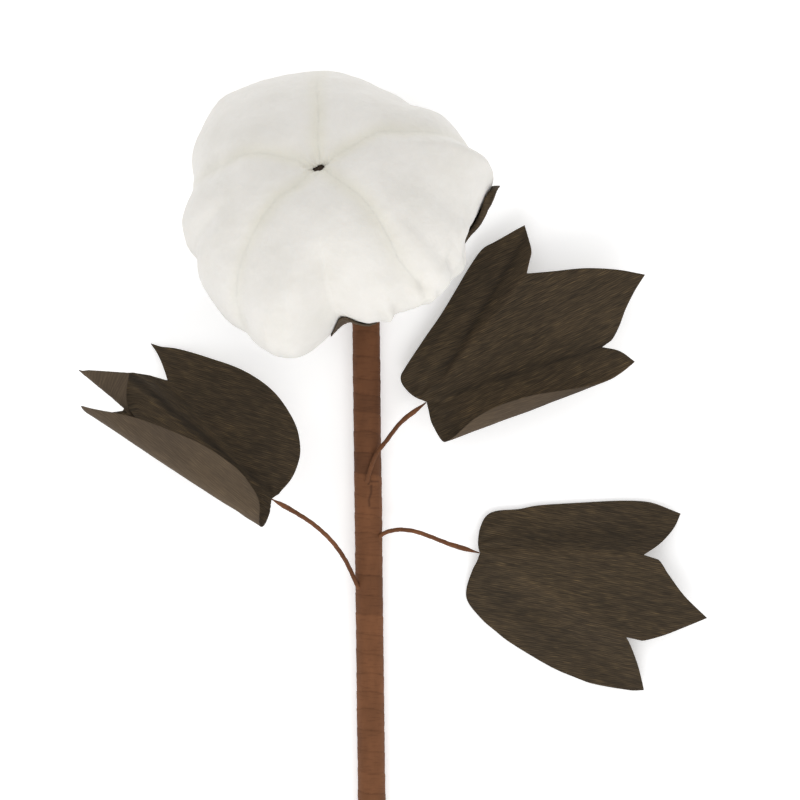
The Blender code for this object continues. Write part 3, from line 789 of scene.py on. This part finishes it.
def taped_stem():
    """The tape outside, a plain bore around the core inside; paler tape towards the cut end."""
    path = stem_path(STEM_RINGS)
    run = distance_run(path)[:, None]
    turn = (np.arange(STEM_SIDES) / STEM_SIDES)[None]
    relief, tone, edge = wound_radius(run, turn, TAPE_PITCH, TAPE_STEP, 21)
    neck = ease(path[:, 1], STRAIGHT_END[1], path[-1, 1])[:, None]
    base = WRAP_RADIUS - 0.12 + (NECK_RADIUS - WRAP_RADIUS) * neck
    wrinkle = 0.05 * hills(run / 1.6, turn * 8, seed=24)
    wrinkle = wrinkle + 0.07 * hills(run / 12, turn * 4, seed=25)
    outer = tube(path, base + relief + wrinkle, vec(1, 0, 0))
    outer = outer + buried_wire(outer)[..., None] * vec(0, 0, 1)
    inner = tube(path, np.full(outer.shape[:2], CORE_RADIUS + 0.3), vec(1, 0, 0))[::-BORE_STRIDE]
    rings = np.concatenate([outer, inner])
    rings[..., 2] = np.maximum(rings[..., 2], 0.0)
    # Painted shade in the gaps around the flap where the wire dives under.
    tone = tone + 0.22 * np.tanh((path[:, 1:2] + 150) / -60) - 0.9 * slit_shade(outer)
    plain = np.full(inner.shape[:2], 0.5)
    piece = closed_skin("taped_stem", rings, joined=True,
                        tones={"turn": np.concatenate([tone, plain]),
                               "edge": np.concatenate([edge, 0 * plain])})
    stand_in(piece, "stem_wrap", "stalk_paper", tape)


taped_stem()


# %% Steel core
def steel_finish():
    """Galvanised wire: grey, half rough, with faint drawing lines."""
    mat, tree, shader = new_finish("core_wire", Roughness=0.45, Metallic=1.0)
    line = noise_node(tree, object_coordinates(tree), (1, 0.05, 1), 900, 3, 0.6)
    colour = ramp_node(tree, line, (0.3, (0.22, 0.22, 0.23)), (0.7, (0.42, 0.42, 0.43)))
    tree.links.new(colour, shader.inputs["Base Color"])
    bump_node(tree, shader, 0.4, (line, 0.1))
    return mat


bpy.data.objects["stem_core"].material_slots[0].material = steel_finish()

# %% [markdown]
# ## Leaves
# Each leaf is one piece of crepe paper cut to three lobes and folded along lines that run up from
# its foot.  A cloth simulation would fold it somewhere, but not where the real one is creased.
# Instead the flat pattern is rolled around each fold line in turn, which keeps every length of the
# paper.  The crepe itself is a relief of long narrow ridges, added before the folds.

# %% Patterns, folds and places
# The flat pattern is in millimetres, with the foot at the origin and the middle tip on +Y.
#   right, left: stops of the edge.  The shoulder runs from the foot to the side tip, the inlet on
#     to the notch and the middle on to the middle tip.  A corner goes on over an overhang.
#   corner_fold, folds: (radius, point on the line, heading, side, bend), applied in this order
#   turns: the folded leaf is turned by these angles about X, then Y, then Z (listed Z, Y, X)
#   grain: heading of the crepe
#   tones: bands of painted shade and painted light along the folds and facets; see Crepe relief
#   foot: where the foot lies; with None for Z the leaf's lowest point rests on the table
LEAVES = {
    "left": {
        "right": {"shoulder": ((5, -1.5), (12, -2), (19, -0.5), (25, 2.5), (32, 9), (37, 17),
                               (41, 26.5), (43, 37), (43, 48.5), (40.5, 63), (37.5, 76),
                               (34.8, 83), (33.8, 88)),
                  "inlet": ((31.5, 83), (28, 77.5), (23, 71)),
                  "middle": ((16, 77.5), (7.5, 83.5), (-1, 90.5), (-8.5, 98.5))},
        "left": {"shoulder": ((-8, -4.5), (-17, -6.5), (-29, -2.5), (-35, 6), (-38, 14.5),
                              (-39.6, 27), (-39.3, 40), (-36.5, 62), (-30, 84)),
                 "inlet": ((-21.5, 78), (-12, 72)),
                 "middle": ((-18.4, 77.5), (-24.8, 82.9)),
                 "corner": ((-16.7, 90.7), (-8.5, 98.5))},
        "corner_fold": (1.8, (-12, 72), 5.0, -1, 160.0),
        "folds": ((5.0, (-20, -8), -5.5, -1, 143.0), (3.0, (0, 0), 6.5, -1, -20.0),
                  (4.0, (0, 0), 18.0, 1, 51.0)),
        "turns": (31.5, 61.5, -22.0),
        "grain": -12.0,
        "tones": ((0, 2.5, -0.9, 0.9, 0.45), (0, 2.5, 3.0, 2.6, -0.50),
                  (0, 2.5, -6.0, 3.8, 0.30), (0, 18.0, -2.0, 1.4, 0.26)),
        "foot": (-19.9, -140.2, None),
    },
    "upper_right": {
        "right": {"shoulder": ((5, -1.5), (11.5, -3), (23, -2), (32, 8), (37, 20), (39.3, 34),
                               (39.6, 44), (38.5, 62), (34.5, 84)),
                  "inlet": ((26.5, 81), (20.5, 75.5)),
                  "middle": ((20.3, 80.5), (17, 86.5), (12.5, 92.5), (8, 100), (4.5, 107.5))},
        "left": {"shoulder": ((-5, -3.5), (-11, -5), (-15, -4), (-17.5, 0), (-24, 13.5),
                              (-28.5, 23.5), (-34, 34), (-40.5, 46), (-43.8, 54), (-43.6, 60.5),
                              (-43.4, 67.5), (-43.2, 74.5)),
                 "inlet": ((-39, 73.5), (-31, 72), (-27.5, 69.5), (-23, 65.5)),
                 "middle": ((-18, 75), (-13, 85), (-9, 91.5), (-3, 99.5), (4.5, 107.5))},
        "folds": ((4.0, (0, 0), -28.0, -1, 29.5), (4.0, (0, 0), -19.5, -1, -34.5),
                  (5.0, (23, -8), 11.5, 1, 149.5), (4.0, (0, 0), 15.0, 1, 26.0)),
        "turns": (-57.5, -2.0, 6.0),
        "grain": 7.0,
        "tones": ((0, -28.0, 0.0, 2.4, -0.42), (0, -28.0, -16.0, 13.0, -0.22),
                  (0, -19.5, 0.0, 1.8, 0.22), (0, 15.0, 0.0, 1.2, -0.42),
                  (0, 22.0, 9.0, 9.0, 0.50)),
        "foot": (45.4, -99.6, 10.0),
    },
    "lower_right": {
        "right": {"shoulder": ((4, -0.5), (8.5, -1.5), (16.5, -2), (22, 0), (27.5, 7),
                               (31, 13.5), (35, 22.5), (40.5, 41), (42.4, 53), (42.9, 61),
                               (41.5, 75.5), (39.5, 82)),
                  "inlet": ((32, 78.5), (26.5, 75.5), (20.5, 71.5), (18.3, 69.5)),
                  "middle": ((18.2, 73), (17.8, 77), (13.5, 84.5), (8, 92), (1.5, 100.5))},
        "left": {"shoulder": ((-2.5, -1.5), (-6, -2.5), (-11, -3), (-16, -2), (-19.5, 1.5),
                              (-23, 10.5), (-27, 18.5), (-32.5, 33.5), (-38, 49), (-41, 60),
                              (-41.5, 67), (-40, 77.5)),
                 "inlet": ((-32.5, 76.5), (-24.5, 73), (-17.3, 67.5)),
                 "middle": ((-17.1, 74), (-12.5, 79.5), (-7.5, 85.5), (-4, 90.5), (1.5, 100.5))},
        "folds": ((12.0, (0, 0), -30.0, -1, 14.5), (3.0, (0, 0), -14.5, -1, -26.0),
                  (12.0, (0, 0), 29.0, 1, 11.5), (3.0, (0, 0), 15.0, 1, -23.0)),
        "turns": (-105.0, 0.0, 4.5),
        "grain": -6.0,
        "tones": ((0, -14.5, 0.0, 1.8, 0.38), (0, -14.5, -8.0, 5.0, -0.25),
                  (0, 15.0, 0.0, 1.5, 0.32), (0, 22.0, 10.0, 6.0, -0.22)),
        "foot": (68.1, -163.9, None),
    },
}
PAPER, CREPE_HEIGHT = 0.4, 0.17
COLUMNS, ROWS = 380, 110
EDGE_COLUMNS = (0.0, 0.004, 0.02, 0.06, 0.13)   # distances of the extra columns from each edge
WAIST_BELOW = 1.0               # a lobe with an overhang starts to lean this far below its notch
WAIST_SHARES = (0.3, 0.85)      # and between these shares of a column's length


# %% Flat pattern as columns
def smooth_through(stops, steps):
    """Catmull-Rom curve: each span's slopes are half the way between its neighbours."""
    stops = np.array(stops, dtype=float)
    padded = np.concatenate([[2 * stops[0] - stops[1]], stops, [2 * stops[-1] - stops[-2]]])
    t = (np.arange(steps) / steps)[None, :, None]
    a, b, c, d = (padded[k:len(padded) - 3 + k, None] for k in range(4))
    pull = (c - a) * t + (2 * a - 5 * b + 4 * c - d) * t * t + (3 * b - a - 3 * c + d) * t ** 3
    return np.concatenate([(b + pull / 2).reshape(-1, stops.shape[1]), stops[-1:]])


def half_outline(side):
    """Flat outline in two stretches: the lower shoulder from the foot to the widest point, and
    from there over the side tip and the notch to the middle tip.  Also where the notch falls."""
    shoulder = smooth_through(((0, 0),) + side["shoulder"], 24)
    widest = int(np.abs(shoulder[:, 0]).argmax())
    inlet = smooth_through(side["shoulder"][-1:] + side["inlet"], 20)
    middle = smooth_through(side["inlet"][-1:] + side["middle"], 24)
    if "corner" in side:
        over = smooth_through(side["middle"][-1:] + side["corner"], 24)
        middle = np.concatenate([middle, over[1:]])
    upper = np.concatenate([shoulder[widest:-1], inlet[:-1], middle])
    return shoulder[:widest + 1], upper, len(shoulder) - 1 - widest + len(inlet) - 1


def edge_height(x, edge):
    """Height of an edge at each x; the edge may run either way but never turns back."""
    if edge[0, 0] > edge[-1, 0]:
        edge = edge[::-1]
    return np.interp(x, np.maximum.accumulate(edge[:, 0]), edge[:, 1])


def leaf_columns(spec):
    """Flat points [column, row, xy]: columns run up the paper's grain from edge to edge.

    Columns stay upright, except that those of a middle lobe with an overhanging corner lean out
    to it above the notches.  Also each column's own x, and which columns are the left lobe's.
    """
    low_right, up_right, notch_right = half_outline(spec["right"])
    low_left, up_left, notch_left = half_outline(spec["left"])
    left_end, right_end = low_left[-1, 0], low_right[-1, 0]
    close = np.array(EDGE_COLUMNS)
    x = np.concatenate([left_end + close, np.linspace(left_end + 0.25, right_end - 0.25, COLUMNS),
                        right_end - close[::-1]])
    lower = np.concatenate([low_left[::-1], low_right[1:]])
    bottom = np.stack([x, edge_height(x, lower)], axis=-1)
    a, b = up_left[notch_left, 0], up_right[notch_right, 0]
    left_lobe, right_lobe = up_left[:notch_left + 1], up_right[:notch_right + 1]
    middle = np.concatenate([up_left[notch_left:], up_right[notch_right:][::-1][1:]])
    top_y = np.where(x < a, edge_height(x, left_lobe), edge_height(x, right_lobe))
    top = np.stack([x, top_y], axis=-1)
    inside = (x > a) & (x < b)
    overhangs = "corner" in spec["left"]
    if overhangs:
        shares = (x[inside] - a) / (b - a)
        top[inside] = points_at(middle, shares * distance_run(middle)[-1])
    else:
        top[inside, 1] = edge_height(x[inside], middle)
    rows = np.linspace(0.0, 1.0, ROWS)[None, :, None]
    flat = bottom[:, None] + (top - bottom)[:, None] * rows
    if overhangs:
        waist_y = up_left[notch_left, 1] - WAIST_BELOW
        share = (waist_y - bottom[:, 1]) / np.maximum(top[:, 1] - bottom[:, 1], 1e-6)
        share = np.clip(share, *WAIST_SHARES)[:, None]
        waist = np.stack([x, bottom[:, 1] + share[:, 0] * (top[:, 1] - bottom[:, 1])], axis=-1)
        r = rows[..., 0]
        below = np.clip(r / share, 0, 1)[..., None]
        above = np.clip((r - share) / (1 - share), 0, 1)[..., None]
        bent = bottom[:, None] + (waist - bottom)[:, None] * below + (top - waist)[:, None] * above
        flat = np.where(inside[:, None, None], bent, flat)
    return flat, x, x <= a


# %% Folds
def fold_sheet(points, flat, radius, through, heading, side, bend):
    """Bend the sheet on one side of a line drawn on the flat pattern.

    heading is in degrees from +Y towards +X, side is +1 right of the line or -1 left of it, and
    a positive bend lifts that side.  A strip as long as the bend's arc is rolled around it, and
    everything past the strip is carried along.
    """
    a, lift = math.radians(heading), math.radians(abs(bend))
    along_line = vec(math.sin(a), math.cos(a), 0)
    away = side * vec(math.cos(a), -math.sin(a), 0)
    normal = vec(0, 0, math.copysign(1, bend))
    strip = radius * lift
    start = vec(*through, 0) - away * strip / 2
    past = (flat[..., 0] - start[0]) * away[0] + (flat[..., 1] - start[1]) * away[1]
    turn = np.clip(past / radius, 0.0, lift)
    rest = points - start
    beyond = rest @ away - np.clip(past, 0.0, strip)
    height = rest @ normal
    out = (radius - height) * np.sin(turn) + beyond * np.cos(turn)
    up = radius - (radius - height) * np.cos(turn) + beyond * np.sin(turn)
    run = (rest @ along_line)[..., None] * along_line
    return start + run + out[..., None] * away + up[..., None] * normal


def turned(axis, degrees):
    return np.array(Matrix.Rotation(math.radians(degrees), 3, axis))


# %% Crepe relief
def along_grain(x, y, heading):
    """Coordinates across and along the paper's grain, which is heading degrees off the midrib."""
    a = math.radians(heading)
    return x * math.cos(a) - y * math.sin(a), x * math.sin(a) + y * math.cos(a)


def crepe(x, flat, grain, seed):
    """Height of the crepe, 0 to 1 for its ridges, and the slow waves in millimetres.

    Ridges are hills 1 mm wide and 10 mm long that wander sideways a little.  Waves are hills of
    20 mm.  Pinch wrinkles are a cosine of the angle around the foot, dying out within 30 mm.
    """
    y = flat[..., 1]
    across, along = along_grain(x[:, None], y, grain)
    across = across + 0.8 * hills(x[:, None] / 9, y / 14, seed=seed)
    ridges = hills(across / 0.5, along / 5.5, seed=seed + 1)
    ridges = ridges + 0.5 * hills(across / 0.33, along / 4.0, seed=seed + 2)
    broad = hills(across / 2.6, along / 16, seed=seed + 3)
    ridge = np.clip(0.5 + 0.36 * ridges + 0.10 * broad, 0, 1)
    waves = 0.45 * hills(x[:, None] / 17, y / 24, seed=seed + 4)
    waves = waves + 0.14 * hills(x[:, None] / 5, y / 18, seed=seed + 5)
    distance = np.hypot(flat[..., 0], y)
    angle = np.arctan2(flat[..., 0], y + 4)
    bends = 2 * hills(distance / 9, seed=seed + 6)
    pinch = 0.5 * np.exp(-(distance / 14) ** 1.5) * np.cos(angle * 11 + bends)
    return ridge, waves * ease(distance, 2, 22) + pinch * ease(distance, 0.5, 5)


def fold_light_and_shade(flat, tones):
    """Painted shade and light of the folds and facets: 0.5 on plain paper, less in painted shade and
    more in painted light.

    Each tone is (start on X, heading, distance right of that line, width, strength), a bell curve
    across the line that fades in over the first 16 mm from the foot.
    """
    tone = np.full(flat.shape[:2], 0.5)
    for start, heading, beside, width, strength in tones:
        across, _ = along_grain(flat[..., 0] - start, flat[..., 1], heading)
        tone += strength * np.exp(-((across - beside) / width) ** 2) * ease(flat[..., 1], 2, 16)
    return np.clip(tone, 0, 1)


def crepe_leaf(name, seed):
    """Both faces of the sheet, PAPER apart, through every fold and into place.

    A turned corner lies over its own lobe, so the later folds take it where it lies.
    """
    spec = LEAVES[name]
    flat, x, left_lobe = leaf_columns(spec)
    ridge, wave = crepe(x, flat, spec["grain"], seed)
    # Painted shade and light along the folds and across the facets.
    tone = fold_light_and_shade(flat, spec["tones"])
    about_z, about_y, about_x = spec["turns"]
    turn = turned("Z", about_z) @ turned("Y", about_y) @ turned("X", about_x)
    faces = []
    for level in (PAPER / 2, -PAPER / 2):
        height = wave + CREPE_HEIGHT * (ridge - 0.5) + level
        points = np.concatenate([flat, height[..., None]], axis=-1)
        lies_at = flat
        if "corner_fold" in spec:
            bent = fold_sheet(points, flat, *spec["corner_fold"])
            points = np.where(left_lobe[:, None, None], points, bent)
            lies_at = points[..., :2].copy()
        for fold in spec["folds"]:
            points = fold_sheet(points, lies_at, *fold)
        faces.append(points @ turn.T)
    front, back = faces
    foot_x, foot_y, foot_z = spec["foot"]
    lowest = min(front[..., 2].min(), back[..., 2].min())
    foot_z = -lowest if foot_z is None else max(foot_z, -lowest)
    foot = vec(foot_x, foot_y, foot_z)
    rings = foot + two_faces(front, back)
    across = x[:, None] + 0 * flat[..., 0]
    uv = np.stack(along_grain(across, flat[..., 1], spec["grain"]), axis=-1) * MM
    piece = closed_skin("paper_leaf_" + name, rings, uv=two_faces(uv),
                        tones={"ridge": two_faces(ridge), "fold": two_faces(tone, 1 - tone)})
    stand_in(piece, "leaf_" + name, "leaf_crepe", leaf_front, leaf_back)
    strip = np.arange((len(x) - 1) * 2 * ROWS) % (2 * ROWS)
    is_back = (strip >= ROWS - 1) & (strip < 2 * ROWS - 1)
    ends = np.zeros(len(piece.data.polygons) - len(strip), dtype=bool)
    slots = np.concatenate([is_back, ends]).astype(np.int32)
    piece.data.polygons.foreach_set("material_index", slots)
    return foot


feet = {name: crepe_leaf(name, 40 + 10 * k) for k, name in enumerate(LEAVES)}
print("leaf feet, mm:", {name: foot.round(1).tolist() for name, foot in feet.items()})

# %% [markdown]
# ## Stalk wires
# Thin wires in the same tape run from the stem to each leaf.  They are stiff wire, bent by hand,
# so each is a tube along a smooth curve through a few points of its route.

# %% Wires
WIRES = {
    "left": ((16.6, -178.8, 10.9), (15.0, -175.6, 12.4), (13.0, -171.0, 14.0),
             (10.0, -165.2, 16.5), (5.0, -158.3, 20.6), (-1.7, -151.8, 26.4),
             (-9.4, -146.4, 33.4)),
    "upper_right": ((20.3, -135.2, 12.7), (20.5, -131.4, 14.6), (23.6, -122.4, 14.9),
                    (28.1, -116.2, 13.8), (34.4, -108.2, 12.0), (41.7, -102.4, 10.6)),
    "lower_right": ((24.6, -157.6, 10.6), (26.8, -155.6, 11.4), (29.5, -154.5, 11.1),
                    (34.0, -153.8, 10.2), (40.3, -154.6, 8.9), (46.6, -156.7, 7.7),
                    (55.0, -160.0, 6.6), (63.4, -162.6, 5.9)),
}
WIRE_RADIUS, WIRE_PITCH, WIRE_STEP = 0.95, 5.0, 0.10
WIRE_RINGS, WIRE_SIDES = 320, 28
TIP_GAP, TAPER, TIP_DARK = 0.25, 8.0, 5.0       # lengths in millimetres at the leaf's end


def taped_wire(name, seed):
    """Tube with its own fine winding of tape, swollen near the leaf and drawn out to a tip."""
    stops = np.array(WIRES[name] + (tuple(feet[name]),))
    last = stops[-1] - stops[-2]
    stops[-1] -= TIP_GAP * last / np.linalg.norm(last)
    path = even_steps(smooth_through(stops, 40), WIRE_RINGS)
    run = distance_run(path)[:, None]
    length = run[-1]
    turn = (np.arange(WIRE_SIDES) / WIRE_SIDES)[None]
    relief, tone, edge = wound_radius(run, turn, WIRE_PITCH, WIRE_STEP, seed)
    swell = 0.16 * ease(run, length - 16, length - 8)
    rough = 0.05 * hills(run / 1.4, turn * 5, seed=seed + 3)
    taper = 1 - 0.72 * ease(run, length - TAPER, length) ** 1.3
    rings = tube(path, (WIRE_RADIUS - 0.08 + relief + swell + rough) * taper, vec(0, 0, 1))
    tip = ease(run, length - TIP_DARK, length)
    piece = closed_skin("taped_wire_" + name, rings,
                        tones={"turn": tone - 0.4 * tip, "edge": np.maximum(edge, tip)})
    stand_in(piece, "leaf_wire_" + name, "stalk_paper", tape)


for k, name in enumerate(WIRES):
    taped_wire(name, 70 + 5 * k)

# %% [markdown]
# ## Table, light and camera
# The stem lies on a plain white table.  A large soft light stands towards the cut end of the stem,
# because the near side of the cotton is the brighter one, and an even white world fills the rest,
# so shadows are faint.  The camera is far away and looks straight down.

# %% Table
TABLE_HALF, TABLE_GAP = 2.5, 0.0002     # metres; the gap keeps table and leaves apart


def white_table():
    """A plain white sheet; a little emission keeps it white where the lights fall off."""
    mesh = bpy.data.meshes.new("table")
    sides = ((-1, -1), (1, -1), (1, 1), (-1, 1))
    corners = [(x * TABLE_HALF, y * TABLE_HALF, -TABLE_GAP) for x, y in sides]
    mesh.from_pydata(corners, [], [(0, 1, 2, 3)])
    floor = bpy.data.objects.new("table", mesh)
    bpy.context.scene.collection.objects.link(floor)
    mat, _, _ = new_finish("white_table", Roughness=0.9, Base_Color=(0.97, 0.97, 0.97, 1),
                           Specular_IOR_Level=0.0, Emission_Color=(1, 1, 1, 1),
                           Emission_Strength=0.28)
    floor.data.materials.append(mat)


# %% Lights
AIM = vec(0.03, -0.1, 0.03)


def soft_light(name, place, size, power):
    """Round area light at place, turned towards AIM."""
    data = bpy.data.lights.new(name, "AREA")
    data.shape = "DISK"
    data.size = size
    data.energy = power
    light = bpy.data.objects.new(name, data)
    light.location = place
    light.rotation_euler = Matrix(look_along(AIM - vec(*place)).tolist()).to_euler()
    bpy.context.scene.collection.objects.link(light)


def look_along(view):
    """Rotation whose -Z points along view."""
    back = -view / np.linalg.norm(view)
    right = np.cross(vec(0, 1, 0), back)
    right /= np.linalg.norm(right)
    return np.stack([right, np.cross(back, right), back], axis=1)


def white_world(strength):
    world = bpy.data.worlds.new("soft_white")
    world.use_nodes = True
    background = world.node_tree.nodes["Background"]
    background.inputs["Color"].default_value = (1, 1, 1, 1)
    background.inputs["Strength"].default_value = strength
    bpy.context.scene.world = world


white_table()
soft_light("near_light", (0.15, -1.9, 1.5), 1.6, 18)
soft_light("top_light", (-0.5, 0.5, 2.0), 1.8, 3)
white_world(0.79)

# %% Camera
CAMERA_PLACE = (0.03404, -0.0987, 2.400)
CAMERA_LENS = 252.9


def straight_down_camera():
    data = bpy.data.cameras.new("camera")
    data.lens = CAMERA_LENS
    data.sensor_width = 36.0
    data.clip_end = 20.0
    camera = bpy.data.objects.new("camera", data)
    camera.location = CAMERA_PLACE
    bpy.context.scene.collection.objects.link(camera)
    bpy.context.scene.camera = camera
    bpy.context.scene.view_settings.view_transform = "Standard"


straight_down_camera()
